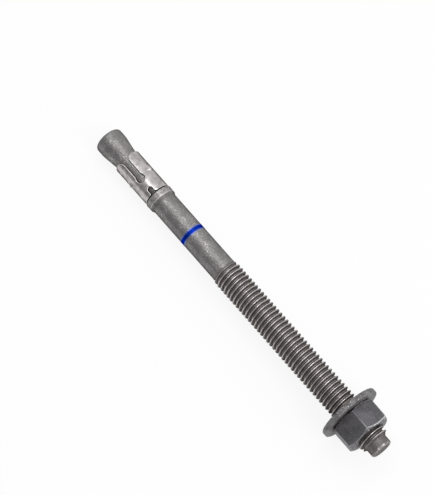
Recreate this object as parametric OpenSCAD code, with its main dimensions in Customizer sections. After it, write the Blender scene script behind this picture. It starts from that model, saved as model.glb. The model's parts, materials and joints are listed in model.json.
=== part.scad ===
// Wedge expansion anchor for concrete: a through-bolt with a rolled expansion clip on its neck,
// a flat washer and a hex nut. Lengths are in millimetres.
// Each piece is drawn along +Z, with stations counted from the tail end of the bolt.
// The whole anchor is then laid down as it comes to rest, on the rim of its tail and the rim of
// its washer, with the tip towards +X and the origin under the middle of its bounding box.

/* [Bolt] */
// Major diameter of the thread, and diameter of the tail
bolt_d = 12.7; // [12.2:0.1:14]
// Overall length
bolt_l = 177.8; // [150:0.1:220]
// Length of the full-diameter tail
tail_l = 4.8; // [3:0.1:9]
// Rounding of the tail's rim
tail_round = 1.3; // [0.5:0.1:2]
// Length of the wedge cone from the tail to the neck
cone_l = 10.2; // [8:0.1:14]
// Diameter of the neck that carries the clip
neck_d = 9.8; // [9:0.1:10.4]
// Radius of the blend between the cone and the neck
neck_blend = 12; // [4:0.5:20]
// Length of the neck between the cone and the collar
neck_l = 19.5; // [16:0.1:23]
// Diameter of the collar that pushes the clip
collar_d = 12.6; // [11.8:0.1:13]
// Length of the collar's full diameter
collar_l = 3.3; // [2.5:0.1:8]
// Length of the collar's bevel down to the shank
collar_bevel = 1.2; // [0.4:0.1:2]
// Break of the collar's edge beside the clip
collar_break = 0.3; // [0.1:0.1:0.6]
// Diameter of the plain shank
shank_d = 11.3; // [10.8:0.1:11.7]
// Length of the plain shank
shank_l = 39.3; // [25:0.1:60]
// Distance from the collar's bevel to the depth mark
mark_offset = 17.1; // [4:0.1:20]
// Width of the painted depth mark
mark_w = 2.4; // [1:0.1:4]
// Thickness of the depth mark's paint
mark_film = 0.05; // [0.03:0.01:0.2]
// Diameter of the plain tip beyond the thread
tip_d = 9.6; // [8:0.1:10]
// Length of the plain tip
tip_l = 3.9; // [2.8:0.1:6]
// Rounding of the tip's edge
tip_round = 0.6; // [0.2:0.1:1.2]

/* [Thread] */
// Pitch of the right-hand thread
pitch = 1.954; // [1.5:0.001:2.2]
// Straight steps along one turn of the thread
turn_steps = 20; // [12:1:24]
// Turns over which the thread fades out at the shank
fade_turns = 1.5; // [0.8:0.1:3]
// Angle of the bevel that ends the thread before the tip, in degrees
end_bevel = 60; // [45:5:75]

/* [Expansion clip] */
// Thickness of the strip
sheet_t = 1; // [0.7:0.05:1.2]
// Length of the clip along the bolt
clip_l = 20.35; // [18:0.05:21.5]
// Outward flare of the finger tips
tip_flare = 0.05; // [0.05:0.05:0.3]
// Rounding of the corners of the finger tips
tip_corner = 2.8; // [0.6:0.1:3.2]
// Width of the slots between the fingers
slot_w = 3.1; // [2:0.1:4]
// Diameter of the round relief that ends each slot
relief_d = 4.3; // [4.1:0.1:5]
// Length of the bridge between a slot's relief and the notch behind it
bridge_l = 3.45; // [2:0.05:5]
// Depth of the notches in the collar side
notch_l = 3.2; // [1.5:0.05:4]
// Width of the notches in the collar side
notch_w = 2.4; // [1.2:0.1:3]
// Bevel of the corners where the notches open
notch_bevel = 0.6; // [0.2:0.1:1]
// Gap left where the ends of the rolled strip meet
seam_w = 0.4; // [0.2:0.05:0.8]
// Distance from the collar side to the near dimple
near_dimple = 3.25; // [2:0.05:4.5]
// Distance from the collar side to the crest of the grip bump
grip_bump = 9.65; // [8.5:0.05:13]
// Distance from the collar side to the far dimple
far_dimple = 17.3; // [15.2:0.05:17.8]
// Ball radius of the small dimples
dimple_ball = 1; // [0.8:0.05:1.3]
// Height of the small dimples
dimple_h = 0.22; // [0.1:0.02:0.4]
// Radius of a grip bump's round crest
bump_r = 1.8; // [1.4:0.05:2.2]
// Height of the grip bumps
bump_h = 0.9; // [0.3:0.02:1.1]
// Length of a grip bump's slope towards the finger tip
bump_taper = 3.6; // [2:0.1:4.5]
// Length of a grip bump's blunt end towards the collar
bump_blunt = 0.8; // [0.4:0.1:1.5]
// Turn of the clip about the bolt, in degrees
clip_turn = 79; // [0:1:120]

/* [Washer] */
// Outside diameter
washer_d = 27; // [25:0.1:32]
// Thickness
washer_t = 2.4; // [1.6:0.1:3.2]
// Rounding of the punched rim
washer_round = 0.5; // [0.2:0.1:0.7]

/* [Nut] */
// Width across flats
nut_af = 19.05; // [18:0.05:22]
// Height
nut_h = 11.1; // [8:0.1:13]
// Diameter of the flat inside the corner chamfers
nut_face_d = 18.1; // [16.5:0.1:18.6]
// Depth of the countersinks in the nut's bore
nut_sink = 0.7; // [0.3:0.1:1.2]
// Distance from the end of the bolt to the nut's outer face
nut_inset = 7.8; // [2:0.1:60]
// Turn of the nut about the bolt, in degrees
nut_turn = 6; // [0:1:60]

/* [Fits] */
// Radial clearance of the clip on the neck and the cone
clip_gap = 0.15; // [0.1:0.05:0.25]
// Axial clearance between the clip and the collar
clip_end_gap = 0.45; // [0.1:0.05:0.6]
// Radial clearance of the washer's hole round the thread
washer_gap = 0.4; // [0.3:0.05:0.8]
// Radial clearance of the nut's bore round the thread
nut_gap = 0.1; // [0.1:0.05:0.3]
// Gap left under the bolt where it lies low in the washer's hole
rest_gap = 0.1; // [0.1:0.05:0.3]

/* [Hidden] */
$fn = 72;

// Radii of the bolt
bolt_r = bolt_d / 2;
neck_r = neck_d / 2;
collar_r = collar_d / 2;
shank_r = shank_d / 2;
tip_r = tip_d / 2;

// Stations along the bolt
cone_end = tail_l + cone_l;
collar_start = cone_end + neck_l;
collar_end = collar_start + collar_l;
shank_start = collar_end + collar_bevel;
mark_start = shank_start + mark_offset;
thread_start = shank_start + shank_l;
thread_end = bolt_l - tip_l;
nut_start = bolt_l - nut_inset - nut_h;
washer_start = nut_start - washer_t;

// Sixty-degree thread form: a crest flat of an eighth of the pitch and a depth of 5/8 of the sharp height
thread_depth = 0.625 * pitch * cos(30);
root_r = bolt_r - thread_depth;
crest_w = pitch / 8;
flank_w = thread_depth * tan(30);
form_z = [0, crest_w, crest_w + flank_w, pitch - flank_w];
form_r = [bolt_r, bolt_r, root_r, root_r];

// The thread is one surface wound round the bolt, with its first turn inside the shank and its last in the tip
inlay = 0.05;
fade_r = shank_r - inlay;
bury_r = tip_r - 2 * inlay;
fade_start = thread_start - 0.3 * pitch;
turns = ceil((thread_end - thread_start) / pitch + 1.5);
wind_start = thread_end - turns * pitch;
steps = turns * turn_steps;

// Radii and stations of the clip
clip_in_r = neck_r + clip_gap;
clip_out_r = clip_in_r + sheet_t;
clip_end = collar_start - clip_end_gap;
clip_start = clip_end - clip_l;
slot_end = clip_end - notch_l - bridge_l;
lean_end = max(cone_end, clip_start) + clip_gap;
finger_tip_r = cone_r(clip_start) + clip_gap;
flared_r = max(clip_out_r + tip_flare, finger_tip_r + 0.6 * sheet_t);
fingers = 3;
cut_reach = flared_r + 1;
bump_foot_r = bump_r - bump_h - 2 * inlay;

// Washer and nut
washer_r = washer_d / 2;
washer_hole_r = bolt_r + washer_gap;
washer_lift = washer_gap - rest_gap;
nut_bore_r = bolt_r + nut_gap;
nut_corner_r = nut_af / 2 / cos(30);
nut_chamfer = (nut_corner_r - nut_face_d / 2) * tan(30);

// Resting tilt: the rounded rims of the tail and the washer both touch the floor
rim_run = washer_start + washer_round - tail_round;
rim_drop = washer_r - washer_lift - washer_round - (bolt_r - tail_round);
rest_tilt = atan2(rim_drop, rim_run) - asin((tail_round - washer_round) / norm([rim_run, rim_drop]));
rest_z = (bolt_r - tail_round) * cos(rest_tilt) + tail_round - tail_round * sin(rest_tilt);
low_x = tail_round * cos(rest_tilt) - (bolt_r - tail_round) * sin(rest_tilt) - tail_round;
high_x = (bolt_l - tip_round) * cos(rest_tilt) + (tip_r - tip_round) * sin(rest_tilt) + tip_round;

// Radius of the wedge cone at a station
function cone_r(z) = max(neck_r, bolt_r - (bolt_r - neck_r) * (z - tail_l) / cone_l);

// Points of an arc in a profile
function arc(x, y, r, from, to, n = 8) =
    [for (i = [0 : n]) [x + r * cos(from + (to - from) * i / n), y + r * sin(from + (to - from) * i / n)]];

// Tangent blend between the cone and the neck, cut from one arc
cone_angle = atan2(bolt_r - neck_r, cone_l);
blend_l = neck_blend * tan(cone_angle / 2);
function neck_curve() = arc(neck_r + neck_blend, cone_end + blend_l, neck_blend, 180 + cone_angle, 180, 6);

// Radius of a thread point, faded into the shank at one end and bevelled down to the tip at the other
function fade(z) = max(0, min(1, (z - fade_start) / (fade_turns * pitch)));
function end_r(z) = bury_r + max(0, thread_end - z) * tan(end_bevel);
function thread_r(z, r) = min(fade_r + fade(z) * (r - fade_r), end_r(z));
function thread_point(line, i) =
    let (z = wind_start + pitch * i / turn_steps + form_z[line], r = thread_r(z, form_r[line]))
    [r * cos(360 * i / turn_steps), r * sin(360 * i / turn_steps), z];

// Number of a thread point: the first line runs one turn further than the other three
function at(line, i) = line == 0 ? i : steps + turn_steps + 1 + (line - 1) * (steps + 1) + i;
function above(line, i) = line == 3 ? at(0, i + turn_steps) : at(line + 1, i);

// Closed solid of the whole thread, core included
module thread() {
    last = steps + turn_steps;
    count = last + 1 + 3 * (steps + 1);
    points = [
        for (i = [0 : last]) thread_point(0, i),
        for (line = [1 : 3]) for (i = [0 : steps]) thread_point(line, i),
        [0, 0, wind_start + pitch / 2],
        [0, 0, thread_end + pitch / 2]
    ];
    low_rim = [for (i = [0 : turn_steps]) at(0, i), at(3, 0), at(2, 0), at(1, 0)];
    high_rim = [for (i = [last : -1 : steps]) at(0, i), at(1, steps), at(2, steps), at(3, steps)];
    sides = [
        for (line = [0 : 3])
            for (i = [0 : steps - 1])
                for (half = [0, 1])
                    half == 0
                        ? [at(line, i), above(line, i), above(line, i + 1)]
                        : [at(line, i), above(line, i + 1), at(line, i + 1)]
    ];
    low_cap = [for (k = [0 : len(low_rim) - 1]) [count, low_rim[k], low_rim[(k + 1) % len(low_rim)]]];
    high_cap = [for (k = [0 : len(high_rim) - 1]) [count + 1, high_rim[k], high_rim[(k + 1) % len(high_rim)]]];
    polyhedron(points, concat(sides, low_cap, high_cap));
}

// Tail, wedge cone, neck, collar and shank, turned in one profile
module bolt_front() {
    rotate_extrude()
        polygon(concat(
            [[0, 0]],
            arc(bolt_r - tail_round, tail_round, tail_round, -90, 0),
            [[bolt_r, tail_l]],
            neck_curve(),
            [
                [neck_r, collar_start],
                [collar_r - collar_break, collar_start],
                [collar_r, collar_start + collar_break],
                [collar_r, collar_end],
                [shank_r, shank_start],
                [shank_r, mark_start],
                [shank_r + mark_film, mark_start],
                [shank_r + mark_film, mark_start + mark_w],
                [shank_r, mark_start + mark_w],
                [shank_r, thread_start],
                [min(shank_r, root_r) - 4 * inlay, thread_start + fade_turns * pitch],
                [0, thread_start + fade_turns * pitch]
            ]
        ));
}

// Plain tip beyond the thread
module bolt_tip() {
    rotate_extrude()
        polygon(concat(
            [[0, thread_end - pitch], [tip_r, thread_end - pitch]],
            arc(tip_r - tip_round, bolt_l - tip_round, tip_round, 0, 90, 4),
            [[0, bolt_l]]
        ));
}

// One finger's pressed marks, on the clip's outside: two small dimples and a wedge-shaped grip bump
module finger_marks() {
    for (z = [near_dimple, far_dimple])
        translate([clip_out_r + dimple_h - dimple_ball, 0, clip_end - z])
            sphere(dimple_ball);
    translate([clip_out_r + bump_h - bump_r, 0, clip_end - grip_bump])
        rotate_extrude()
            polygon([
                [0, -bump_taper],
                [bump_foot_r, -bump_taper],
                [bump_r, 0],
                [bump_foot_r, bump_blunt],
                [0, bump_blunt]
            ]);
}

// One slot between two fingers, with its rounded mouth and its round relief
module finger_slot() {
    relief_z = slot_end - relief_d / 2;
    difference() {
        translate([0, -slot_w / 2 - tip_corner, clip_start - 1])
            cube([cut_reach, slot_w + 2 * tip_corner, 1 + tip_corner]);
        for (side = [-1, 1])
            translate([-1, side * (slot_w / 2 + tip_corner), clip_start + tip_corner])
                rotate([0, 90, 0])
                    cylinder(h = cut_reach + 2, r = tip_corner);
    }
    translate([0, -slot_w / 2, clip_start - 1])
        cube([cut_reach, slot_w, relief_z - clip_start + 1]);
    translate([0, 0, relief_z])
        rotate([0, 90, 0])
            cylinder(h = cut_reach, d = relief_d);
}

// One notch in the collar side, with its round bottom and its bevelled mouth
module collar_notch() {
    notch_z = clip_end - notch_l + notch_w / 2;
    translate([0, 0, notch_z])
        rotate([0, 90, 0])
            cylinder(h = cut_reach, d = notch_w);
    translate([0, -notch_w / 2, notch_z])
        cube([cut_reach, notch_w, notch_l]);
    translate([0, 0, clip_end])
        rotate([0, 90, 0])
            linear_extrude(cut_reach)
                polygon([
                    [notch_bevel, -notch_w / 2],
                    [notch_bevel, notch_w / 2],
                    [-1, notch_w / 2 + notch_bevel + 1],
                    [-1, -notch_w / 2 - notch_bevel - 1]
                ]);
}

// Lays a piece that is drawn along +Z down at rest
module laid_down() {
    translate([-(low_x + high_x) / 2, 0, rest_z])
        rotate([0, 90 - rest_tilt, 0])
            children();
}

module anchor_bolt() {
    color("#96938e")
        laid_down()
            union() {
                bolt_front();
                thread();
                bolt_tip();
            }
}

module expansion_clip() {
    color("#c8c3c1")
        laid_down()
            rotate([0, 0, clip_turn])
                difference() {
                    union() {
                        rotate_extrude()
                            polygon([
                                [0, clip_start],
                                [flared_r, clip_start],
                                [clip_out_r, lean_end],
                                [clip_out_r, clip_end],
                                [0, clip_end]
                            ]);
                        for (k = [0 : fingers - 1])
                            rotate([0, 0, (k + 0.5) * 360 / fingers])
                                finger_marks();
                    }
                    rotate_extrude()
                        polygon([
                            [0, clip_start - 1],
                            [cone_r(clip_start - 1) + clip_gap, clip_start - 1],
                            [finger_tip_r, clip_start],
                            [clip_in_r, lean_end],
                            [clip_in_r, clip_end + 1],
                            [0, clip_end + 1]
                        ]);
                    for (k = [0 : fingers - 1])
                        rotate([0, 0, k * 360 / fingers]) {
                            finger_slot();
                            collar_notch();
                        }
                    rotate([0, 0, -360 / fingers])
                        translate([0, -seam_w / 2, slot_end - relief_d / 2])
                            cube([cut_reach, seam_w, clip_end - slot_end + relief_d / 2]);
                }
}

module flat_washer() {
    color("#6e6e70")
        laid_down()
            translate([-washer_lift, 0, washer_start])
                difference() {
                    rotate_extrude()
                        polygon(concat(
                            [[0, 0]],
                            arc(washer_r - washer_round, washer_round, washer_round, -90, 0, 4),
                            arc(washer_r - washer_round, washer_t - washer_round, washer_round, 0, 90, 4),
                            [[0, washer_t]]
                        ));
                    translate([0, 0, -1])
                        cylinder(h = washer_t + 2, r = washer_hole_r);
                }
}

module hex_nut() {
    color("#7c8086")
        laid_down()
            translate([0, 0, nut_start])
                rotate([0, 0, nut_turn])
                    difference() {
                        intersection() {
                            cylinder(h = nut_h, r = nut_corner_r, $fn = 6);
                            rotate_extrude()
                                polygon([
                                    [0, 0],
                                    [nut_face_d / 2, 0],
                                    [nut_corner_r + 1, nut_chamfer + tan(30)],
                                    [nut_corner_r + 1, nut_h - nut_chamfer - tan(30)],
                                    [nut_face_d / 2, nut_h],
                                    [0, nut_h]
                                ]);
                        }
                        translate([0, 0, -1])
                            cylinder(h = nut_h + 2, r = nut_bore_r);
                        for (side = [0, 1])
                            translate([0, 0, side * nut_h])
                                mirror([0, 0, side])
                                    translate([0, 0, -1])
                                        cylinder(h = 1 + nut_sink, r1 = nut_bore_r + nut_sink + 1, r2 = nut_bore_r);
                    }
}

anchor_bolt();
expansion_clip();
flat_washer();
hex_nut();
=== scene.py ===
# %% [markdown]
# # A wedge expansion anchor, dressed piece by piece
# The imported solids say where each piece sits, how large it is and how it moves. This notebook gives
# them the surfaces of the real anchor: a rolled thread under a zinc coat, a pressed stainless clip,
# an inked depth mark, a punched washer and a forged nut. Nothing is moved or resized on the way.

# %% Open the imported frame
import json
import math

import bpy
import numpy as np
from mathutils import Matrix, Vector
from mathutils.geometry import delaunay_2d_cdt


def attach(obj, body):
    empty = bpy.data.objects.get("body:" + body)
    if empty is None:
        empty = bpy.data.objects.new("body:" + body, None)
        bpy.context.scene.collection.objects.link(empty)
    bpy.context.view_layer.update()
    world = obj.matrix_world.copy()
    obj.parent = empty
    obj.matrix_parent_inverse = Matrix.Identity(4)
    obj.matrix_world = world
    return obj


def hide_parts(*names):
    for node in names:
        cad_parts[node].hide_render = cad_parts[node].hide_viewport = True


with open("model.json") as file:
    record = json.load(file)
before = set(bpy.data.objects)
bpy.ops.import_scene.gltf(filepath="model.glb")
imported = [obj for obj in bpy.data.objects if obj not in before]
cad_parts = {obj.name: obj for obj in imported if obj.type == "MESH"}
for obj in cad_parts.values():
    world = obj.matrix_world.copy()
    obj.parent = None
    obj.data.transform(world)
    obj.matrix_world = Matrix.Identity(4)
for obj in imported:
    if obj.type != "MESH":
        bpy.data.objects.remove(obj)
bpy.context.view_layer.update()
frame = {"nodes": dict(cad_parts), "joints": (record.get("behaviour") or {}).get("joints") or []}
print("solids:", ", ".join(sorted(frame["nodes"])))

# %% [markdown]
# ## The drawing frame
# A bolt is easiest to draw upright, in millimetres, with stations counted along it from its tail.
# The real one lies on the floor with a small rise towards the tip, so one matrix lays every drawing
# down. Its place and its rise come from the nut's axis in the frame, which is the bolt's own axis.

# %% Find the bolt's axis and the matrix that lays a drawing down
MM = 0.001
BOLT_L = 177.8
NUT_H = 11.1
NUT_INSET = 7.8
NUT_START = BOLT_L - NUT_INSET - NUT_H

spin = next(joint for joint in frame["joints"] if joint["name"] == "nut_spin")
axis = Vector(spin["axis"]).normalized()
tail_point = Vector(spin["pos_m"]) - axis * (NUT_START + NUT_H / 2) * MM
swing = math.pi / 2 - math.atan2(axis.z, axis.x)
lay_down = Matrix.Translation(tail_point) @ Matrix.Rotation(swing, 4, "Y") @ Matrix.Scale(MM, 4)
print("rise towards the tip:", round(90 - math.degrees(swing), 3), "degrees")

# %% [markdown]
# ## The camera
# The photograph looks steeply down on the bolt. Azimuth, elevation and distance were fitted to the
# bolt's own stations, and the lens to how fast its diameter grows towards the tip. The picture is
# aimed a little past the bolt's middle, so the camera turns by two small angles and needs no shift.

# %% Set the camera where the photographer stood
PHOTO_H = 495
SENSOR = 36
CAMERA_AZIMUTH = 48.522
CAMERA_ELEVATION = 71.876
CAMERA_DISTANCE = 811.5
AIM_AZIMUTH = 2.1623
AIM_ELEVATION = -1.2064
FOCAL_PIXELS = 1967.9


def direction(azimuth, elevation):
    """Unit vector from the object to an observer at these angles, in degrees."""
    a, e = math.radians(azimuth), math.radians(elevation)
    return Vector((math.sin(a) * math.cos(e), -math.cos(a) * math.cos(e), math.sin(e)))


def placed(name, data):
    """An object in the scene that holds a mesh, a lamp or a camera."""
    made = bpy.data.objects.new(name, data)
    bpy.context.scene.collection.objects.link(made)
    return made


middle = lay_down @ Vector((0, 0, BOLT_L / 2))
camera = placed("camera", bpy.data.cameras.new("camera"))
camera.location = middle + direction(CAMERA_AZIMUTH, CAMERA_ELEVATION) * CAMERA_DISTANCE * MM
aim = direction(CAMERA_AZIMUTH + AIM_AZIMUTH, CAMERA_ELEVATION + AIM_ELEVATION)
camera.rotation_euler = aim.to_track_quat("Z", "Y").to_euler()
camera.data.sensor_width = SENSOR
camera.data.lens = FOCAL_PIXELS * SENSOR / PHOTO_H
bpy.context.scene.camera = camera
print("lens:", round(camera.data.lens, 1), "mm")

# %% [markdown]
# ## Wires and boards
# Both the finishes and the rule-made shapes are node trees. Written out node by node they are hard
# to read, so a `Wire` stands for one output socket and takes part in sums like a number: each sum
# adds its Math node. A `Board` adds any other node, with its settings first and then its sockets.

# %% Write node trees as sums
def sum_rule(operation, reflected=False):
    """An operator of a Wire that adds one Math node."""
    def rule(self, other):
        pair = (other, self) if reflected else (self, other)
        return self.maths(operation, *pair)
    return rule


class Wire:
    """One output socket of a board."""

    def __init__(self, board, socket):
        self.board = board
        self.socket = socket

    def maths(self, operation, *values):
        return self.board.node("ShaderNodeMath", {"operation": operation}, dict(enumerate(values)))

    __add__ = sum_rule("ADD")
    __radd__ = sum_rule("ADD", reflected=True)
    __sub__ = sum_rule("SUBTRACT")
    __rsub__ = sum_rule("SUBTRACT", reflected=True)
    __mul__ = sum_rule("MULTIPLY")
    __rmul__ = sum_rule("MULTIPLY", reflected=True)
    __truediv__ = sum_rule("DIVIDE")
    __rtruediv__ = sum_rule("DIVIDE", reflected=True)
    __pow__ = sum_rule("POWER")

    def ramp(self, low, high, smooth=True):
        """0 at low, 1 at high, and held beyond them."""
        kind = "SMOOTHSTEP" if smooth else "LINEAR"
        ends = {"Value": self, "From Min": low, "From Max": high}
        return self.board.node("ShaderNodeMapRange", {"interpolation_type": kind}, ends)

    def split(self):
        """The three numbers of a vector."""
        node = self.board.add("ShaderNodeSeparateXYZ", {}, {0: self})
        return [Wire(self.board, socket) for socket in node.outputs]


class Board:
    """A node tree that grows by one node at a time."""

    def __init__(self, tree):
        self.tree = tree

    def add(self, kind, settings, sockets):
        node = self.tree.nodes.new(kind)
        for name, value in settings.items():
            setattr(node, name, value)
        for name, value in sockets.items():
            if isinstance(value, Wire):
                self.tree.links.new(value.socket, node.inputs[name])
            else:
                node.inputs[name].default_value = value
        return node

    def node(self, kind, settings=None, sockets=None, out=0):
        """Adds a node and returns the wire of one of its outputs."""
        return Wire(self, self.add(kind, settings or {}, sockets or {}).outputs[out])

    def mixed(self, share, first, second):
        """A colour between two, by share."""
        colours = {0: share, 6: first, 7: second}
        return self.node("ShaderNodeMix", {"data_type": "RGBA"}, colours, out=2)

    def layered(self, colour, coats):
        """A colour under coats, each a share and a colour laid over what is there."""
        for share, coat in coats:
            colour = self.mixed(share, colour, coat)
        return colour

    def noise(self, place, scale, detail=2.0, roughness=0.5):
        sockets = {"Vector": place, "Scale": scale, "Detail": detail, "Roughness": roughness}
        return self.node("ShaderNodeTexNoise", {"noise_dimensions": "3D"}, sockets)

    def stretched(self, place, factors):
        return self.node("ShaderNodeVectorMath", {"operation": "MULTIPLY"}, {0: place, 1: factors})


def rgb(red, green, blue):
    return (red, green, blue, 1.0)


def grey(tone):
    return rgb(tone, tone, tone)


print("wires and boards are ready")

# %% [markdown]
# ## The studio
# Metal shows what stands round it. Here that is a long, narrow softbox overhead, a second one past
# the tip, and a room that is pale on the +Y side and dark on the other: the pale wall shades every
# round piece softly, and the softboxes give it its highlights. The white of the paper is given to
# what the eye sees directly or in a reflection, by Light Path, and not by more light: the metal
# keeps its own tone, and the paper keeps a soft shadow.

# %% Lay the paper
FLOOR_HALF = 3.0
FIBRE_SCALE = 900.0
PAPER_DULL = 0.84
PAPER_CLEAN = 0.9
PAPER_WHITE = 0.88


def drawn(name, points, faces):
    """A mesh of these points and faces."""
    mesh = bpy.data.meshes.new(name)
    mesh.from_pydata(points, [], faces)
    return mesh


def cleared(owner):
    """The empty board of a material or a world."""
    owner.use_nodes = True
    owner.node_tree.nodes.clear()
    return Board(owner.node_tree)


def new_finish(name):
    """A material and its empty board."""
    material = bpy.data.materials.new(name)
    return material, cleared(material)


def seen(board):
    """1 for rays that are seen: straight, reflected or through glass."""
    node = board.add("ShaderNodeLightPath", {}, {})
    names = ("Is Camera Ray", "Is Glossy Ray", "Is Transmission Ray")
    direct, glossy, through = [Wire(board, node.outputs[name]) for name in names]
    rays = direct + glossy + through
    return rays.maths("MINIMUM", rays, 1.0)


def paper_finish():
    material, board = new_finish("white_paper")
    place = board.node("ShaderNodeTexCoord", out="Object")
    fibre = board.noise(place, FIBRE_SCALE, detail=3.0)
    tone = board.mixed(fibre, grey(PAPER_DULL), grey(PAPER_CLEAN))
    matt = board.node("ShaderNodeBsdfDiffuse", {}, {"Color": tone})
    white = board.node("ShaderNodeEmission", {}, {"Color": grey(1.0), "Strength": 1.0})
    both = board.node("ShaderNodeMixShader", {}, {0: seen(board) * PAPER_WHITE, 1: matt, 2: white})
    board.add("ShaderNodeOutputMaterial", {}, {"Surface": both})
    return material


floor_points = [(x * FLOOR_HALF, y * FLOOR_HALF, 0) for x, y in ((-1, -1), (1, -1), (1, 1), (-1, 1))]
floor_mesh = drawn("paper", floor_points, [(0, 1, 2, 3)])
floor_mesh.materials.append(paper_finish())
floor = placed("paper", floor_mesh)
print("paper:", 2 * FLOOR_HALF, "m wide")

# %% Hang the lamps and paint the room
DARK_WALL = 0.31
PALE_WALL = 0.95
LOW_WALL = 0.83
PALE_TURN = (-0.95, 0.45)
LOW_TURN = (0.7, 1.0)


def softbox(name, place, width, height, power):
    """A rectangular lamp that faces the object."""
    lamp = bpy.data.lights.new(name, "AREA")
    lamp.shape = "RECTANGLE"
    lamp.size = width
    lamp.size_y = height
    lamp.energy = power
    holder = placed(name, lamp)
    holder.location = place
    holder.rotation_euler = Vector(place).to_track_quat("Z", "Y").to_euler()
    print(name, "at", place, "with", power, "W")


softbox("key_softbox", place=(-0.19, 0.12, 0.68), width=0.6, height=0.16, power=1.15)
softbox("tip_softbox", place=(0.62, 0.12, 0.62), width=0.35, height=0.5, power=2.1)

world = bpy.data.worlds.new("grey_room")
bpy.context.scene.world = world
room = cleared(world)
_, towards_side, _ = room.node("ShaderNodeTexCoord", out="Object").split()
wall = room.mixed(towards_side.ramp(*PALE_TURN, smooth=False), grey(DARK_WALL), grey(PALE_WALL))
wall = room.mixed(towards_side.ramp(*LOW_TURN, smooth=False), wall, grey(LOW_WALL))
backdrop = room.node("ShaderNodeBackground", {}, {"Color": wall, "Strength": 1.0})
room.add("ShaderNodeOutputWorld", {}, {"Surface": backdrop})
bpy.context.scene.view_settings.view_transform = "Standard"

# %% [markdown]
# ## Turned forms
# The bolt's blank, the ink band and the washer are round, so each is a short list of profile
# corners. A real edge is never sharp: forging, tumbling and the zinc bath round it. So each corner
# carries its own rounding, one helper turns the corners into rows and another spins the rows.

# %% Round a profile and turn it
LONGEST_ROW = 3.0
ARC_STEP = math.radians(12)


def rounded(corners, loop=False):
    """Rows (station, radius) of a profile whose corners (station, radius, rounding) are rounded."""
    rows = []
    count = len(corners)
    for i, (station, radius, rounding) in enumerate(corners):
        here = Vector((station, radius))
        if rounding == 0 or (not loop and i in (0, count - 1)):
            rows.append(here)
            continue
        back = (Vector(corners[i - 1][:2]) - here).normalized()
        ahead = (Vector(corners[(i + 1) % count][:2]) - here).normalized()
        opening = back.angle(ahead)
        centre = here + (back + ahead).normalized() * rounding / math.sin(opening / 2)
        first = here + back * rounding / math.tan(opening / 2) - centre
        last = here + ahead * rounding / math.tan(opening / 2) - centre
        steps = max(2, math.ceil((math.pi - opening) / ARC_STEP))
        rows += [centre + first.lerp(last, k / steps).normalized() * rounding for k in range(steps + 1)]
    return rows


def filled(rows, longest=LONGEST_ROW):
    """The same rows with others between them where they lie far apart."""
    out = [rows[0]]
    for low, high in zip(rows, rows[1:]):
        steps = max(1, math.ceil((high - low).length / longest))
        out += [low.lerp(high, k / steps) for k in range(1, steps + 1)]
    return out


def turned(rows, steps, loop=False):
    """Points and faces of rows spun about Z. A row of radius 0 is a single point."""
    points, rings, faces = [], [], []
    for station, radius in rows:
        count = steps if radius > 0 else 1
        angles = [2 * math.pi * i / steps for i in range(count)]
        rings.append([len(points) + i % count for i in range(steps + 1)])
        points += [(radius * math.cos(a), radius * math.sin(a), station) for a in angles]
    following = rings[1:] + rings[:1] if loop else rings[1:]
    for low, high in zip(rings, following):
        for i in range(steps):
            corners = (low[i], low[i + 1], high[i + 1], high[i])
            faces.append(tuple(dict.fromkeys(corners)))
    return points, faces


print("a profile takes", len(rounded([(0, 0, 0), (0, 1, 0.2), (1, 1, 0)])), "rows for one rounded corner")

# %% [markdown]
# ## The bolt's blank
# One bar is forged and turned into the tail, the wedge cone, the neck, the collar and the shank, and
# the far end keeps a plain tip where the nut starts. Both are profiles that stay open where the
# thread will join them. The two ends are a little hollow, as a cropped and forged end is.

# %% Turn the tail, the neck, the shank and the tip
STEPS = 72
END_HOLLOW = 0.15
BOLT_R = 6.35
TAIL_HOLLOW_R = 3.4
TAIL_HOLLOW_BLEND = 6
TAIL_ROUND = 1.32
TAIL_L = 4.8
TAIL_BLEND = 8
CONE_END = 15.0
NECK_R = 4.9
NECK_BLEND = 12
COLLAR_START = 34.5
COLLAR_END = 37.8
COLLAR_R = 6.3
COLLAR_TAPER = 0.06
COLLAR_FOOT = 0.3
COLLAR_ROUND = 0.35
COLLAR_BREAK = 0.3
SHANK_START = 39.0
SHANK_R = 5.65
SHANK_BLEND = 0.4
THREAD_START = 77.7
THREAD_END = 173.9
TIP_R = 4.8
TIP_ROUND = 1.0
TIP_HOLLOW_R = 2.4
TIP_HOLLOW_BLEND = 4

front_rows = rounded([
    (END_HOLLOW, 0, 0),
    (0, TAIL_HOLLOW_R, TAIL_HOLLOW_BLEND),
    (0, BOLT_R, TAIL_ROUND),
    (TAIL_L, BOLT_R, TAIL_BLEND),
    (CONE_END, NECK_R, NECK_BLEND),
    (COLLAR_START, NECK_R, COLLAR_FOOT),
    (COLLAR_START, COLLAR_R, COLLAR_ROUND),
    (COLLAR_END, COLLAR_R - COLLAR_TAPER, COLLAR_BREAK),
    (SHANK_START, SHANK_R, SHANK_BLEND),
    (THREAD_START, SHANK_R, 0),
])
tip_rows = rounded([
    (THREAD_END, TIP_R, 0),
    (BOLT_L, TIP_R, TIP_ROUND),
    (BOLT_L, TIP_HOLLOW_R, TIP_HOLLOW_BLEND),
    (BOLT_L - END_HOLLOW, 0, 0),
])
blank_points, blank_faces = turned(filled(front_rows), STEPS)
tip_points, tip_faces = turned(filled(tip_rows), STEPS)
blank_faces += [tuple(i + len(blank_points) for i in face) for face in tip_faces]
blank_points += tip_points
blank = drawn("bolt_blank", blank_points, blank_faces)
print("blank:", len(blank_points), "points,", len(blank_faces), "faces")

# %% [markdown]
# ## The rolled thread
# A thread is a rule: the radius depends only on how far a point lies from the crest, counted in
# pitches, and the crest climbs one pitch a turn. A sweep along a helix would leave seams, so a
# Geometry Nodes tree bends a flat grid round the bolt instead. Its rows climb with the helix, so
# every crest edge lies on a row, and the grid's two sides meet exactly one pitch apart.

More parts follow.
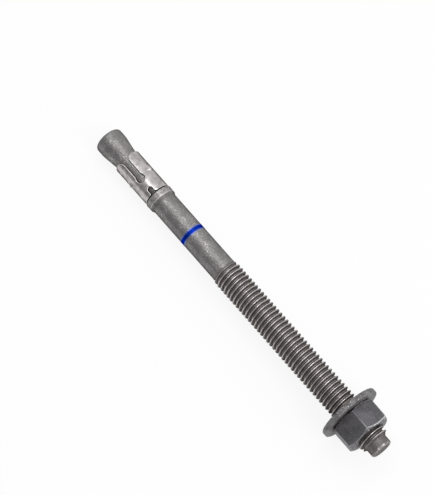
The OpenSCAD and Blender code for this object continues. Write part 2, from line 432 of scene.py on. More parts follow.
# %% Open a geometry tree with named sizes
def geometry_tree(name, sizes):
    """A board with a geometry input, these named sizes and a finish, and the wires of them all."""
    tree = bpy.data.node_groups.new(name, "GeometryNodeTree")
    kinds = {int: "NodeSocketInt", float: "NodeSocketFloat"}
    tree.interface.new_socket("Geometry", in_out="INPUT", socket_type="NodeSocketGeometry")
    for label, value in sizes.items():
        tree.interface.new_socket(label, in_out="INPUT", socket_type=kinds[type(value)])
    tree.interface.new_socket("Finish", in_out="INPUT", socket_type="NodeSocketMaterial")
    tree.interface.new_socket("Geometry", in_out="OUTPUT", socket_type="NodeSocketGeometry")
    board = Board(tree)
    entry = board.add("NodeGroupInput", {}, {})
    return board, {socket.name: Wire(board, socket) for socket in entry.outputs if socket.name}


def close_tree(board, geometry, finish):
    """Ends a tree: real geometry with its finish."""
    real = board.node("GeometryNodeRealizeInstances", {}, {0: geometry})
    dressed = board.node("GeometryNodeSetMaterial", {}, {"Geometry": real, "Material": finish})
    board.add("NodeGroupOutput", {}, {0: dressed})


def grown(mesh, tree, sizes, finish):
    """The plain mesh that a tree makes from a drawn one."""
    draft = placed("draft", mesh)
    rule = draft.modifiers.new("rule", "NODES")
    rule.node_group = tree
    labels = {item.name: item.identifier for item in tree.interface.items_tree if item.in_out == "INPUT"}
    for label, value in {**sizes, "Finish": finish}.items():
        rule[labels[label]] = value
    view = bpy.context.evaluated_depsgraph_get()
    made = draft.evaluated_get(view)
    plain = bpy.data.meshes.new_from_object(made, preserve_all_data_layers=True, depsgraph=view)
    bpy.data.objects.remove(draft)
    return plain


def round_point(board, radius, angle, station):
    """The place at this radius and angle round the bolt's axis, at this station."""
    sockets = {
        "X": radius * angle.maths("COSINE", angle),
        "Y": radius * angle.maths("SINE", angle),
        "Z": station,
    }
    return board.node("ShaderNodeCombineXYZ", {}, sockets)


print("geometry trees end in real geometry with a finish")

# %% Wind the thread
PITCH = 1.954
CREST_EDGE = 1 / 16  # in pitches from the middle of the crest, and so is the next
ROOT_EDGE = 6 / 16
DEPTH_SHARE = 0.625
FLANK_ANGLE = 30
THREAD_DEPTH = DEPTH_SHARE * PITCH * math.cos(math.radians(FLANK_ANGLE))
FADE_TURNS = 1.5
END_BEVEL = 60
ROWS_PER_TURN = 16
SEAM_MERGE = 0.002

first_crest = THREAD_END + CREST_EDGE * PITCH
turns = math.ceil((first_crest - THREAD_START) / PITCH + 1)
thread_sizes = {
    "Columns": STEPS + 1,
    "Rows": turns * ROWS_PER_TURN + 1,
    "Pitch": PITCH,
    "First row": first_crest - turns * PITCH,
    "Wound length": turns * PITCH,
    "Start": THREAD_START,
    "End": THREAD_END,
    "Crest radius": BOLT_R,
    "Root radius": BOLT_R - THREAD_DEPTH,
    "Shank radius": SHANK_R,
    "Tip radius": TIP_R,
    "Fade length": FADE_TURNS * PITCH,
    "End slope": math.tan(math.radians(END_BEVEL)),
    "Roundness": 0.25,
}


def thread_tree():
    board, size = geometry_tree("rolled_thread", thread_sizes)
    flat = {
        "Size X": 1.0,
        "Size Y": size["Wound length"],
        "Vertices X": size["Columns"],
        "Vertices Y": size["Rows"],
    }
    grid = board.node("GeometryNodeMeshGrid", {}, flat)
    across, along, _ = board.node("GeometryNodeInputPosition").split()
    turn = across + 0.5
    wound = along + size["Wound length"] / 2
    climbed = size["First row"] + wound + size["Pitch"] * turn
    station = climbed.maths("MINIMUM", climbed.maths("MAXIMUM", climbed, size["Start"]), size["End"])
    from_crest = wound.maths("PINGPONG", wound / size["Pitch"], 0.5)
    flank = from_crest.ramp(ROOT_EDGE, CREST_EDGE, smooth=False)
    soft_flank = from_crest.ramp(ROOT_EDGE, CREST_EDGE)
    form = flank + (soft_flank - flank) * size["Roundness"]
    full = size["Root radius"] + (size["Crest radius"] - size["Root radius"]) * form
    fade = ((station - size["Start"]) / size["Fade length"]).ramp(0.0, 1.0, smooth=False)
    faded = size["Shank radius"] + (full - size["Shank radius"]) * fade
    bevel = size["Tip radius"] + (size["End"] - station) * size["End slope"]
    radius = faded.maths("MINIMUM", faded, bevel)
    place = round_point(board, radius, turn * 2 * math.pi, station)
    tube = board.node("GeometryNodeSetPosition", {}, {"Geometry": grid, "Position": place})
    joined = board.add("GeometryNodeJoinGeometry", {}, {0: tube})
    board.tree.links.new(size["Geometry"].socket, joined.inputs[0])
    whole = Wire(board, joined.outputs[0])
    merged = board.node("GeometryNodeMergeByDistance", {}, {"Geometry": whole, "Distance": SEAM_MERGE})
    close_tree(board, merged, size["Finish"])
    return board.tree


print("thread:", turns, "turns of", PITCH, "mm")

# %% [markdown]
# ## The zinc coat
# Plated zinc is a dull, warm grey: cloudy patches a few millimetres wide, a fine grain, and small
# flecks where the coat stands proud and catches the light. A photograph could be wrapped round the
# bolt, but it would bring its own light along, so noise at a few scales makes the coat here. Wear and
# painted light follow the form: crests are rubbed bright and carry a painted highlight, flanks are
# brownish with painted shade towards the roots, the tip is bare with a chipped edge, and the collar's
# edge has a rubbed line with a painted highlight. Painted shade darkens the collar's bevel, the gap in
# front of the collar and, with some dust, the neck under the notches.

# %% Mix the zinc coat
DIM_RIM = grey(0.02)
CREST_RUBBED_AND_LIT = (6.08, 6.3)
FLANK_BROWN_AND_SHADED = (6.25, 5.5)
ZINC_BUMP = 0.24
# bands along the bolt: the stations where each begins, is full, fades and is gone
ZINC_BANDS = {
    "threaded": (THREAD_START, THREAD_START + PITCH, THREAD_END - 0.4, THREAD_END + 0.4),
    "notches": (COLLAR_START - 5, COLLAR_START - 3, COLLAR_START, COLLAR_START + 0.3),
    "clip gap": (COLLAR_START - 0.9, COLLAR_START - 0.2, COLLAR_START + 0.05, COLLAR_START + 0.3),
    "collar": (COLLAR_START, COLLAR_START + 0.3, COLLAR_END - 0.2, COLLAR_END + 0.1),
    "collar line": (COLLAR_END - 0.7, COLLAR_END - 0.55, COLLAR_END - 0.45, COLLAR_END - 0.3),
    "below collar": (COLLAR_END - 0.2, COLLAR_END + 0.3, SHANK_START - 0.2, SHANK_START + 0.5),
}
ZINC = {
    "dark cloud": rgb(0.2, 0.191, 0.192),
    "pale cloud": rgb(0.26, 0.248, 0.249),
    "grain": rgb(0.33, 0.315, 0.315),
    "fleck": rgb(0.55, 0.53, 0.53),
    "bare tip": rgb(0.17, 0.152, 0.149),
    "cropped end": rgb(0.33, 0.312, 0.308),
    "chipped edge": rgb(0.75, 0.72, 0.71),
    "shade": rgb(0.06, 0.052, 0.05),
    "polished collar": rgb(0.45, 0.43, 0.425),
    "rubbed and lit line": rgb(0.85, 0.83, 0.82),
    "dust and shade": rgb(0.04, 0.035, 0.033),
    "gap shade": rgb(0.01, 0.009, 0.009),
    "brown and shaded flank": rgb(0.2, 0.172, 0.164),
    "rubbed and lit crest": rgb(0.78, 0.75, 0.73),
}


def upright(board):
    """Places in the drawing frame, in millimetres, from Object coordinates."""
    place = board.node("ShaderNodeTexCoord", out="Object")
    turn = {"Vector": place, "Location": tail_point, "Rotation": (0, swing, 0), "Scale": (MM, MM, MM)}
    return board.node("ShaderNodeMapping", {"vector_type": "TEXTURE"}, turn)


def from_axis(x, y):
    """Distance from the bolt's axis."""
    return (x * x + y * y) ** 0.5


def close_finish(board, sockets, height, depth):
    """Ends a finish: a surface with a bump that is depth millimetres high."""
    bump = {"Strength": 1.0, "Distance": depth * MM, "Height": height}
    normal = board.node("ShaderNodeBump", {}, bump)
    surface = board.node("ShaderNodeBsdfPrincipled", {}, {**sockets, "Normal": normal})
    board.add("ShaderNodeOutputMaterial", {}, {"Surface": surface})


def between(station, begins, full, fades, gone):
    """1 along a band of the bolt, with a soft start and a soft end."""
    return station.ramp(begins, full) * station.ramp(gone, fades)


def zinc_on_bolt():
    material, board = new_finish("zinc_coat_on_the_bolt")
    place = upright(board)
    x, y, station = place.split()
    radius = from_axis(x, y)
    clouds = board.noise(place, 0.22, detail=3.0, roughness=0.6)
    grain = board.noise(place, 1.0, detail=1.0)
    fine = board.noise(place, 1.8, detail=2.0, roughness=0.6)
    flecks = board.noise(place, 1.5, detail=1.0).ramp(0.56, 0.66) * clouds.ramp(0.4, 0.6)
    band = {name: between(station, *stations) for name, stations in ZINC_BANDS.items()}
    # painted highlight: the crests are made pale by radius, as if lit, on top of their wear
    crest = radius.ramp(*CREST_RUBBED_AND_LIT) * band["threaded"]
    # painted shade: the flanks turn darker towards the thread's roots, besides their brown tint
    flank = radius.ramp(*FLANK_BROWN_AND_SHADED) * band["threaded"]
    bare_tip = station.ramp(THREAD_END - 0.2, THREAD_END + 0.4)
    tip_end = station.ramp(BOLT_L - 0.45, BOLT_L - 0.15)
    tip_edge = station.ramp(BOLT_L - 1.2, BOLT_L - 0.7) * radius.ramp(TIP_R - 1.2, TIP_R - 0.6)
    cloudy = board.mixed(clouds.ramp(0.3, 0.7), ZINC["dark cloud"], ZINC["pale cloud"])
    tone = board.layered(cloudy, [
        (fine.ramp(0.35, 0.7) * 0.5, ZINC["grain"]),
        (flecks * 0.65, ZINC["fleck"]),
        (bare_tip * 0.7, ZINC["bare tip"]),
        (tip_end * 0.8, ZINC["cropped end"]),
        (tip_edge * (0.1 + grain.ramp(0.52, 0.62) * 0.7), ZINC["chipped edge"]),
        (band["below collar"] * 0.3, ZINC["shade"]),
        (band["collar"] * (0.1 + grain.ramp(0.38, 0.62) * 0.55), ZINC["polished collar"]),
        # painted highlight: a pale line round the collar's edge, on top of its wear
        (band["collar line"] * (0.1 + fine * 0.8), ZINC["rubbed and lit line"]),
        # painted shade with some dust: the neck under the clip's notches is darkened
        (band["notches"] * 0.6, ZINC["dust and shade"]),
        # painted shade: the neck in the narrow gap between clip and collar is made near black
        (band["clip gap"] * 0.95, ZINC["gap shade"]),
        (flank * 0.8, ZINC["brown and shaded flank"]),
        (crest * (0.35 + fine * 0.55), ZINC["rubbed and lit crest"]),
    ])
    sockets = {
        "Base Color": tone,
        "Metallic": 0.9,
        "Specular Tint": DIM_RIM,
        "Roughness": 0.42 + fine * 0.06 - flecks * 0.13 - crest * 0.1 + bare_tip * 0.1,
    }
    relief = clouds * 0.3 + grain * 0.6 + fine * 0.12 + flecks * 0.15
    close_finish(board, sockets, relief, ZINC_BUMP)
    return material


print("zinc coat:", len(ZINC), "tones,", len(ZINC_BANDS), "bands along the bolt")

# %% Make the bolt
SHARP = math.radians(40)


def piece(name, mesh, body, node=None):
    """Lays a drawn mesh down as a piece that rides on a body, and stands for a solid if one is named."""
    mesh.transform(lay_down)
    mesh.shade_smooth()
    mesh.set_sharp_from_angle(angle=SHARP)
    made = placed(name, mesh)
    if node:
        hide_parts(node)
    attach(made, body)
    mesh.calc_loop_triangles()
    print(name, "on", body, "has", len(mesh.loop_triangles), "triangles")


bolt_mesh = grown(blank, thread_tree(), thread_sizes, zinc_on_bolt())
piece("zinc_bolt", bolt_mesh, "bolt", "anchor_bolt")

# %% [markdown]
# ## The depth mark
# A blue ring on the shank shows how far to drive the anchor in. It is ink, rolled on against a wheel:
# a film of a few hundredths of a millimetre, full in the middle, thin and pale along its two slightly
# uneven edges. The zinc shines through it, so the film is coloured like a metal. A colour mask on the
# zinc would do from afar; a thin ring of its own keeps the film's step.

# %% Roll the depth mark on
MARK_START = 56.4
MARK_W = 2.7
MARK_MIDDLE = MARK_START + MARK_W / 2
MARK_MARGIN = 0.6
MARK_FILM = 0.05
MARK_SUNK = 0.15
MARK_ROUND = 0.03
MARK_SHIFT = 0.06
SLOW_WAVES = 3
QUICK_WAVES = 7
QUICK_START = 2
QUICK_SHARE = 0.6
INK_DEEP = rgb(0.003, 0.022, 0.32)
INK_CLEAR = rgb(0.008, 0.045, 0.46)
INK_THIN = rgb(0.22, 0.29, 0.55)
INK_BUMP = 0.14

mark_rows = rounded([
    (MARK_START, SHANK_R - MARK_SUNK, 0),
    (MARK_START, SHANK_R + MARK_FILM, MARK_ROUND),
    (MARK_START + MARK_W, SHANK_R + MARK_FILM, MARK_ROUND),
    (MARK_START + MARK_W, SHANK_R - MARK_SUNK, 0),
], loop=True)
mark_points, mark_faces = turned(mark_rows, 2 * STEPS, loop=True)


def wheel_shift(x, y, station):
    """Sideways drift of the ink wheel, a smooth wave round the bolt that differs at the two edges."""
    angle = math.atan2(y, x)
    edge = 1 if station > MARK_MIDDLE else -1
    slow = math.sin(SLOW_WAVES * angle + edge)
    quick = math.sin(QUICK_WAVES * angle + QUICK_START)
    return MARK_SHIFT * (slow + QUICK_SHARE * edge * quick)


mark_points = [(x, y, z + wheel_shift(x, y, z)) for x, y, z in mark_points]
mark_mesh = drawn("depth_mark", mark_points, mark_faces)


def blue_ink():
    material, board = new_finish("blue_marking_ink")
    place = upright(board)
    _, _, station = place.split()
    streaks = board.noise(board.stretched(place, (0.5, 0.5, 2.5)), 1.2, detail=2.0)
    grain = board.noise(place, 1.0, detail=1.0)
    from_middle = station.maths("ABSOLUTE", station - MARK_MIDDLE)
    thin = (from_middle + grain * 0.2).ramp(MARK_W / 2 - MARK_MARGIN, MARK_W / 2)
    full = board.mixed(streaks.ramp(0.3, 0.75), INK_DEEP, INK_CLEAR)
    sockets = {
        "Base Color": board.mixed(thin, full, INK_THIN),
        "Metallic": 1.0,
        "Specular Tint": grey(0.1),
        "Roughness": 0.38 + grain * 0.1,
    }
    close_finish(board, sockets, grain, INK_BUMP)
    return material


mark_mesh.materials.append(blue_ink())
piece("depth_mark", mark_mesh, "bolt")

# %% [markdown]
# ## The expansion clip
# The clip is blanked from stainless strip with its slots and notches, pressed with grip bumps and
# rolled round the neck. It is made here in the same order: the flat outline first, filled with even
# triangles, then a second layer and the sheared edge between them. A boolean on a tube would leave
# ragged triangles at the cuts, where the light shows every fault.

# %% Blank the flat strip
CLIP_GAP = 0.15
SHEET_T = 1.0
CLIP_IN_R = NECK_R + CLIP_GAP
CLIP_OUT_R = CLIP_IN_R + SHEET_T
CLIP_L = 20.35
CLIP_END = 34.05
CLIP_START = CLIP_END - CLIP_L
FINGERS = 3
FINGER_PITCH = 2 * math.pi * CLIP_OUT_R / FINGERS
SLOT_HALF = 1.55
RELIEF_R = 2.15
NOTCH_L = 3.2
BRIDGE_L = 3.45
RELIEF_Z = CLIP_END - NOTCH_L - BRIDGE_L - RELIEF_R
NOTCH_R = 1.2
NOTCH_Z = CLIP_END - NOTCH_L + NOTCH_R
NOTCH_CORNER = 0.7
SEAM_HALF = 0.2
TIP_CORNER = 2.8
OUTLINE_STEP = 0.16


def bow(centre, radius, start, end):
    """Points of an arc, with angles in degrees."""
    steps = max(2, math.ceil(radius * math.radians(abs(end - start)) / OUTLINE_STEP))
    angles = [math.radians(start + (end - start) * k / steps) for k in range(steps + 1)]
    return [Vector((centre[0] + radius * math.cos(a), centre[1] + radius * math.sin(a))) for a in angles]


def notch_side(slot, side, inner):
    """Half a notch in the collar side, from its middle outwards."""
    start = 270 + side * math.degrees(math.asin(inner / NOTCH_R))
    middle_x = slot * FINGER_PITCH
    corner = (middle_x + side * (NOTCH_R + NOTCH_CORNER), CLIP_END - NOTCH_CORNER)
    mouth = bow(corner, NOTCH_CORNER, 90 + side * 90, 90)
    return bow((middle_x, NOTCH_Z), NOTCH_R, start, 270 + side * 90) + mouth


def slot_side(slot, side, inner):
    """Half a slot between two fingers, from the finger's tip to the top of the relief."""
    middle_x = slot * FINGER_PITCH
    wall = math.degrees(math.asin(SLOT_HALF / RELIEF_R))
    corner = (middle_x + side * (SLOT_HALF + TIP_CORNER), CLIP_START + TIP_CORNER)
    tip = bow(corner, TIP_CORNER, 270, 270 - side * 90)
    top = math.degrees(math.asin(inner / RELIEF_R))
    return tip + bow((middle_x, RELIEF_Z), RELIEF_R, 270 + side * wall, 270 + side * (180 - top))


collar_side = notch_side(0, 1, SEAM_HALF)
for slot in range(1, FINGERS):
    collar_side += notch_side(slot, -1, 0)[::-1] + notch_side(slot, 1, 0)[1:]
collar_side += notch_side(FINGERS, -1, SEAM_HALF)[::-1]
tail_side = slot_side(FINGERS, -1, SEAM_HALF)[::-1]
for slot in range(FINGERS - 1, 0, -1):
    tail_side += slot_side(slot, 1, 0) + slot_side(slot, -1, 0)[::-1][1:]
tail_side += slot_side(0, 1, SEAM_HALF)
outline = collar_side + tail_side
outline = filled(outline + outline[:1], OUTLINE_STEP)[:-1][::-1]
print("strip outline:", len(outline), "points")

# %% Fill the outline with even points
EDGE_ROUND = 0.26
EDGE_ROWS = (0.03, 0.09, 0.17, EDGE_ROUND, 0.4)
CLEAR_SHARE = 0.9
FILL_STEP = 0.25
KEEP_OFF = 0.55
INSIDE_ONLY = 1
SAME_POINT = 1e-5

rim = np.array([point[:] for point in outline])
rim_ahead = np.roll(rim, -1, axis=0)


def to_rim(points):
    """Distance of each point from the outline."""
    best = np.full(len(points), np.inf)
    for a, b in zip(rim, rim_ahead):
        run = b - a
        share = np.clip((points - a) @ run / (run @ run), 0, 1)
        best = np.minimum(best, np.linalg.norm(points - a - share[:, None] * run, axis=1))
    return best


def inside(points):
    """True for points within the outline, by counting crossings."""
    odd = np.zeros(len(points), bool)
    for (ax, ay), (bx, by) in zip(rim, rim_ahead):
        if ay != by:
            crosses = (ay > points[:, 1]) != (by > points[:, 1])
            odd ^= crosses & (points[:, 0] < ax + (points[:, 1] - ay) * (bx - ax) / (by - ay))
    return odd


run = rim_ahead - np.roll(rim, 1, axis=0)
inward = np.stack([-run[:, 1], run[:, 0]], axis=1) / np.linalg.norm(run, axis=1)[:, None]
edge_points = np.concatenate([rim + inward * gap for gap in EDGE_ROWS])
gaps = np.repeat(EDGE_ROWS, len(rim))
edge_points = edge_points[inside(edge_points) & (to_rim(edge_points) > CLEAR_SHARE * gaps)]
grid_u = np.arange(0, FINGERS * FINGER_PITCH, FILL_STEP)
grid_z = np.arange(CLIP_START, CLIP_END, FILL_STEP * math.sqrt(3) / 2)
fill = np.array([(u + FILL_STEP / 2 * (k % 2), z) for k, z in enumerate(grid_z) for u in grid_u])
fill = fill[inside(fill) & (to_rim(fill) > KEEP_OFF)]
flat_points = np.concatenate([rim, edge_points, fill])
rim_edges = [(i, (i + 1) % len(rim)) for i in range(len(rim))]
corners = [Vector(point) for point in flat_points]
flat, _, triangles, sources, _, _ = delaunay_2d_cdt(corners, rim_edges, [], INSIDE_ONLY, SAME_POINT)
print("strip:", len(flat), "points,", len(triangles), "triangles a side")

# %% Give the strip its thickness
INNER_SHARE = 0.6

flat_place = np.array([point[:] for point in flat])
from_edge = np.minimum(to_rim(flat_place), EDGE_ROUND)
drop = EDGE_ROUND - np.sqrt(EDGE_ROUND ** 2 - (EDGE_ROUND - from_edge) ** 2)
outer_side = np.column_stack([flat_place, SHEET_T - drop])
inner_side = np.column_stack([flat_place, INNER_SHARE * drop])
strip_points = np.concatenate([outer_side, inner_side])
number = {source: new for new, found in enumerate(sources) for source in found}


def facing_up(triangle):
    """The triangle's corners in anticlockwise order."""
    first, second, third = flat_place[list(triangle)]
    one, other = second - first, third - first
    anticlockwise = one[0] * other[1] > one[1] * other[0]
    return tuple(triangle) if anticlockwise else tuple(triangle[::-1])


upward = [facing_up(triangle) for triangle in triangles]
count = len(flat_place)
strip_faces = upward + [tuple(i + count for i in face[::-1]) for face in upward]
for i in range(len(rim)):
    a, b = number[i], number[(i + 1) % len(rim)]
    strip_faces.append((a, a + count, b + count, b))
strip = drawn("flat_strip", strip_points.tolist(), strip_faces)
strip_place = strip.attributes.new("strip_place", "FLOAT_VECTOR", "POINT")
strip_place.data.foreach_set("vector", strip_points.ravel())
sheared = strip.attributes.new("sheared", "FLOAT", "POINT")
sheared.data.foreach_set("value", np.tile(1 - from_edge / EDGE_ROUND, 2))
print("strip:", len(strip_faces), "faces with its edge")

# %% [markdown]
# ## Rolling and pressing
# Rolling turns the distance along the strip into an angle, and depth in the sheet into radius. The
# fingers also lean out over the wedge cone. Each finger carries a grip bump between two small dimples.
# The bump is a wedge that rises slowly from the finger's tip and ends blunt towards the collar, and
# a dimple is the cap of a ball; a press tool leaves the feet of both blended into the sheet. All of
# this is one rule for every point, so a Geometry Nodes tree does it.

# %% Roll the strip round the neck
CLIP_TURN = 79
TIP_FLARE = 0.05
CONE_AT_TIP = BOLT_R - (BOLT_R - NECK_R) * (CLIP_START - TAIL_L) / (CONE_END - TAIL_L)

clip_sizes = {
    "First angle": math.radians(CLIP_TURN - 360 / FINGERS),
    "Roll radius": CLIP_OUT_R,
    "Sheet": SHEET_T,
    "Inner radius": CLIP_IN_R,
    "Outer radius": CLIP_OUT_R,
    "Tip inner radius": CONE_AT_TIP + CLIP_GAP,
    "Tip outer radius": CLIP_OUT_R + TIP_FLARE,
    "Tip station": CLIP_START,
    "Cone station": CONE_END + CLIP_GAP,
    "Finger pitch": FINGER_PITCH,
    "Bump crest": CLIP_END - 9.65,
    "Bump height": 0.9,
    "Bump flank": 0.75,
    "Bump ridge": 0.3,
    "Taper": 3.3,
    "Blunt end": 1.3,
    "Crest blend": 0.2,
    "Near station": CLIP_END - 3.25,
    "Far station": CLIP_END - 17.3,
    "Dimple ball": 1.0,
    "Dimple height": 0.22,
    "Foot": 0.12,
}


def clip_tree():
    board, size = geometry_tree("rolled_clip", clip_sizes)
    along, station, depth = board.node("GeometryNodeInputPosition").split()
    half = size["Finger pitch"] / 2
    off_line = along.maths("WRAP", along - half, half * -1, half)

    def raised(tool):
        """A press tool's height above the sheet, with its foot blended in."""
        return tool.maths("SMOOTH_MAX", tool, 0.0, size["Foot"])

    def dimple(middle):
        ball = size["Dimple ball"]
        left = ball * ball - off_line * off_line - (station - middle) * (station - middle)
        return raised(left.maths("MAXIMUM", left, 0.0) ** 0.5 - ball + size["Dimple height"])

    past = station - size["Bump crest"]
    slopes = (past / size["Blunt end"], past / size["Taper"] * -1)
    fall = past.maths("SMOOTH_MAX", *slopes, size["Crest blend"])
    ridge = size["Bump ridge"]
    aside = (off_line * off_line + ridge * ridge) ** 0.5 - ridge
    wedge = raised(size["Bump height"] * (1 - fall) - aside * size["Bump flank"])
    marks = wedge + dimple(size["Near station"]) + dimple(size["Far station"])
    lean = size["Cone station"] - size["Tip station"]
    on_neck = ((station - size["Tip station"]) / lean).ramp(0.0, 1.0, smooth=False)
    inner = size["Tip inner radius"] + (size["Inner radius"] - size["Tip inner radius"]) * on_neck
    outer = size["Tip outer radius"] + (size["Outer radius"] - size["Tip outer radius"]) * on_neck
    radius = inner + (outer - inner) * depth / size["Sheet"] + marks
    angle = size["First angle"] + along / size["Roll radius"]
    place = round_point(board, radius, angle, station)
    rolled = board.node("GeometryNodeSetPosition", {}, {"Geometry": size["Geometry"], "Position": place})
    close_tree(board, rolled, size["Finish"])
    return board.tree


print("clip:", FINGERS, "fingers,", CLIP_L, "mm long")

# %% [markdown]
# ## The clip's steel
# Stainless strip comes bright from the rolling mill, and handling leaves it hazy and a little wavy.
# The shear that blanks it burnishes the outer edge and tears the rest dull; the outer edge is also
# painted near white, a painted highlight on top of the burnish. Noise in the room's own space would
# cut straight through the sheet. So it follows the flat strip here, by the place that every point
# kept on the mesh before rolling, and the haze bends with the steel.

# %% Finish the clip
STEEL_HAZY = rgb(0.4, 0.374, 0.371)
STEEL_BRIGHT = rgb(0.58, 0.556, 0.55)
EDGE_TORN = rgb(0.3, 0.28, 0.275)
EDGE_BURNISHED_AND_LIT = rgb(0.95, 0.93, 0.92)
STEEL_BUMP = 0.04


def stainless():
    material, board = new_finish("bright_rolled_stainless")
    spot = board.node("ShaderNodeAttribute", {"attribute_name": "strip_place"}, out="Vector")
    edge = board.node("ShaderNodeAttribute", {"attribute_name": "sheared"}, out="Fac")
    _, _, depth = spot.split()
    outer = depth.ramp(0.5, 0.9)
    haze = board.noise(spot, 0.5, detail=2.0)
    hazy = board.mixed(haze.ramp(0.3, 0.7), STEEL_HAZY, STEEL_BRIGHT)
    # painted highlight: the outer rounding of the sheared edge is made near white, besides its burnish
    edges = [(edge * (1 - outer), EDGE_TORN), (edge * outer, EDGE_BURNISHED_AND_LIT)]
    sockets = {
        "Base Color": board.layered(hazy, edges),
        "Metallic": 1.0,
        "Specular Tint": DIM_RIM,
        "Roughness": 0.27 + edge * 0.08,
    }
    close_finish(board, sockets, haze, STEEL_BUMP)
    return material


clip_mesh = grown(strip, clip_tree(), clip_sizes, stainless())
piece("stainless_clip", clip_mesh, "clip", "expansion_clip")

# %% [markdown]
# ## The washer
# A washer is punched from steel sheet and plated: the punch rounds its edges over, and the rim is torn
# and grainy. The anchor rests on it, and the bolt lies low in its hole, so the washer's middle is a
# little above the bolt's axis. A closed profile, turned, gives its form. The torn grain is too fine to
# draw, so the finish carries it.

# %% Punch the washer
WASHER_R = 13.495
WASHER_HOLE_R = 6.75
WASHER_T = 2.4
WASHER_START = NUT_START - WASHER_T
WASHER_END = WASHER_START + WASHER_T
WASHER_LIFT = 0.3
RIM_ROUND = 0.5
HOLE_ROUND = 0.25
HOLE_BREAK = 0.15
WASHER_STEPS = 144
WASHER_ROW = 0.8
WASHER_DARK = rgb(0.085, 0.077, 0.077)
WASHER_PALE = rgb(0.19, 0.184, 0.186)
WASHER_GRAIN = rgb(0.34, 0.335, 0.335)
WASHER_SPECK = grey(0.6)
WASHER_BUMP = 0.1

washer_rows = rounded([
    (WASHER_START, WASHER_HOLE_R, HOLE_ROUND),
    (WASHER_START, WASHER_R, RIM_ROUND),
    (WASHER_END, WASHER_R, RIM_ROUND),
    (WASHER_END, WASHER_HOLE_R, HOLE_BREAK),
], loop=True)
washer_rows = filled(washer_rows + washer_rows[:1], WASHER_ROW)[:-1]
washer_points, washer_faces = turned(washer_rows, WASHER_STEPS, loop=True)
washer_mesh = drawn("washer", [(x - WASHER_LIFT, y, z) for x, y, z in washer_points], washer_faces)


def zinc_on_washer():
    material, board = new_finish("dull_zinc_on_the_washer")
    place = upright(board)
    x, y, _ = place.split()
    rim_share = from_axis(x + WASHER_LIFT, y).ramp(WASHER_R - 0.7, WASHER_R - 0.1)
    clouds = board.noise(place, 0.3, detail=3.0)
    grain = board.noise(place, 1.9, detail=4.0, roughness=0.65)
    specks = board.noise(place, 1.3, detail=2.0).ramp(0.62, 0.72) * (0.35 + rim_share * 0.65)
    cloudy = board.mixed(clouds.ramp(0.35, 0.65), WASHER_DARK, WASHER_PALE)
    coats = [(grain.ramp(0.4, 0.7) * 0.5, WASHER_GRAIN), (specks * 0.8, WASHER_SPECK)]
    sockets = {
        "Base Color": board.layered(cloudy, coats),
        "Metallic": 0.5,
        "Roughness": 0.5 + grain * 0.15 - specks * 0.15,
    }
    close_finish(board, sockets, grain * 0.8 + clouds * 0.4 + specks * 0.4, WASHER_BUMP)
    return material


washer_mesh.materials.append(zinc_on_washer())
piece("punched_washer", washer_mesh, "washer", "flat_washer")

# %% [markdown]
# ## The nut
# A hex nut is where two simple shapes cross: a six-sided bar and a pair of cones that chamfer its
# corners. An exact crossing would have knife edges, so each radius is a soft minimum of the two,
# which rounds the edges as tumbling does. How close the two shapes come at a point also tells where
# the edge is, and that number is kept on the mesh for the worn, bright edges of the zinc. The bore is
# tapped with the bolt's own thread form and a little clearance, wound in step with the bolt, so the
# nut runs along the whole thread without cutting into it.

# %% Forge the nut
SIDES = 6
FACE_ANGLE = 360 / SIDES
NUT_AF = 19.05
NUT_FACE_R = 9.05
NUT_TURN = 6
CHAMFER_ANGLE = 30
CHAMFER_RISE = math.tan(math.radians(CHAMFER_ANGLE))
FACE_COLUMNS = 36
CORNER_CROWDING = 1.6
CHAMFER_REACH = 1.5
CHAMFER_ROWS = 22
CHAMFER_CROWDING = 1.2
SIDE_ROWS = (2.2, 3.2, 4.4)
EDGE_SOFT = 0.09
WEAR_REACH = 0.34
WEAR_START = 0.4
WEAR_GROWTH = 0.5


def soft_min(first, second):
    return -EDGE_SOFT * np.logaddexp(-first / EDGE_SOFT, -second / EDGE_SOFT)


share = np.linspace(-1, 1, FACE_COLUMNS, endpoint=False)
crowded = np.sign(share) * (1 - (1 - np.abs(share)) ** CORNER_CROWDING)
in_face = np.radians(FACE_ANGLE / 2) * crowded
angles = np.concatenate([np.radians(NUT_TURN + FACE_ANGLE * (k + 0.5)) + in_face for k in range(SIDES)])
from_flat = np.tile(in_face, SIDES)
flat_r = NUT_AF / 2 / np.cos(from_flat)
next_r = NUT_AF / 2 / np.cos(np.radians(FACE_ANGLE) - np.abs(from_flat))
hex_r = soft_min(flat_r, next_r)
near_end = np.concatenate([np.linspace(0, CHAMFER_REACH, CHAMFER_ROWS) ** CHAMFER_CROWDING, SIDE_ROWS])
heights = np.concatenate([near_end, NUT_H - near_end[::-1]])

nut_rings, wear_rings = [], []
corner_wear = np.exp(-((next_r - flat_r) / WEAR_REACH) ** 2)
for height in heights:
    cone_r = NUT_FACE_R + min(height, NUT_H - height) / CHAMFER_RISE
    nut_rings.append((soft_min(hex_r, np.full_like(hex_r, cone_r)), height))
    towards_tip = np.clip((height - WEAR_START * NUT_H) / (WEAR_GROWTH * NUT_H), 0, 1)
    arc_wear = np.exp(-((hex_r - cone_r) / WEAR_REACH) ** 2)
    wear_rings.append(np.maximum(arc_wear, towards_tip * corner_wear))
print("nut outside:", len(nut_rings), "rings of", len(angles), "points")

# %% Tap the nut
NUT_CREST_R = 5.65
NUT_SINK_R = 7.15
TAP_GAP = 0.2
TAP_ROW = 0.12

for height in np.linspace(NUT_H, 0, round(NUT_H / TAP_ROW)):
    climbed = (NUT_START + height - first_crest) / PITCH - angles / (2 * math.pi)
    from_crest = np.abs(climbed - np.round(climbed))
    flank = np.clip((ROOT_EDGE - from_crest) / (ROOT_EDGE - CREST_EDGE), 0, 1)
    tapped = BOLT_R + TAP_GAP - THREAD_DEPTH * (1 - flank)
    sink = NUT_SINK_R - min(height, NUT_H - height)
    nut_rings.append((np.maximum(np.maximum(tapped, NUT_CREST_R), sink), height))
    wear_rings.append(np.zeros_like(hex_r))

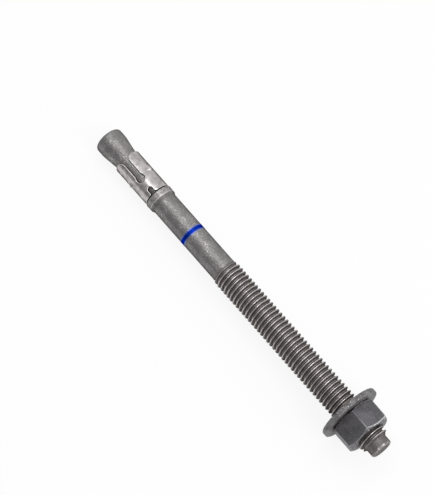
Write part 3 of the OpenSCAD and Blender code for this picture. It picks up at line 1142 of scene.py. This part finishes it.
columns = len(angles)
nut_points = [
    (radius * math.cos(angle), radius * math.sin(angle), NUT_START + height)
    for radii, height in nut_rings
    for radius, angle in zip(radii, angles)
]
nut_faces = []
for row in range(len(nut_rings)):
    low, high = row * columns, (row + 1) % len(nut_rings) * columns
    for i in range(columns):
        k = (i + 1) % columns
        nut_faces.append((low + i, low + k, high + k, high + i))
nut_mesh = drawn("nut", nut_points, nut_faces)
worn = nut_mesh.attributes.new("worn_edge", "FLOAT", "POINT")
worn.data.foreach_set("value", np.concatenate(wear_rings))
print("nut:", len(nut_faces), "faces")

# %% [markdown]
# ## The nut's coat
# The nut is plated apart from the bolt, and its zinc is darker and bluer. Its edges are rubbed bright
# by wrenches and by other nuts in the box. They are also made brighter on the +Y side, which faces
# the lamps, and that part is a painted highlight. Lines painted along the edges would look drawn, so
# the edge number on the mesh is broken up by noise instead.

# %% Finish the nut
NUT_DARK = rgb(0.1, 0.096, 0.104)
NUT_PALE = rgb(0.156, 0.15, 0.162)
NUT_GRAIN = rgb(0.25, 0.243, 0.255)
NUT_SPECK = rgb(0.5, 0.5, 0.51)
NUT_RUBBED_AND_LIT = rgb(0.8, 0.8, 0.81)
NUT_BUMP = 0.08


def zinc_on_nut():
    material, board = new_finish("blue_grey_zinc_on_the_nut")
    place = upright(board)
    _, y, _ = place.split()
    edge = board.node("ShaderNodeAttribute", {"attribute_name": "worn_edge"}, out="Fac")
    clouds = board.noise(place, 0.25, detail=3.0)
    grain = board.noise(place, 2.2, detail=4.0, roughness=0.6)
    scuffs = board.noise(place, 0.9, detail=3.0)
    specks = board.noise(place, 1.6, detail=2.0).ramp(0.66, 0.74)
    # painted highlight: the rubbed edges are brighter towards the lit +Y side
    rubbed = edge * scuffs.ramp(0.3, 0.55) * (0.2 + y.ramp(-2.5, 1.5) * 0.8)
    cloudy = board.mixed(clouds.ramp(0.3, 0.7), NUT_DARK, NUT_PALE)
    tone = board.layered(cloudy, [
        (grain.ramp(0.4, 0.7) * 0.4, NUT_GRAIN),
        (specks * 0.5, NUT_SPECK),
        (rubbed * 0.9, NUT_RUBBED_AND_LIT),
    ])
    sockets = {
        "Base Color": tone,
        "Metallic": 0.92,
        "Roughness": 0.42 + grain * 0.14 - rubbed * 0.1,
    }
    close_finish(board, sockets, grain * 0.7 + clouds * 0.4 + scuffs * 0.4, NUT_BUMP)
    return material


nut_mesh.materials.append(zinc_on_nut())
piece("forged_nut", nut_mesh, "nut", "hex_nut")
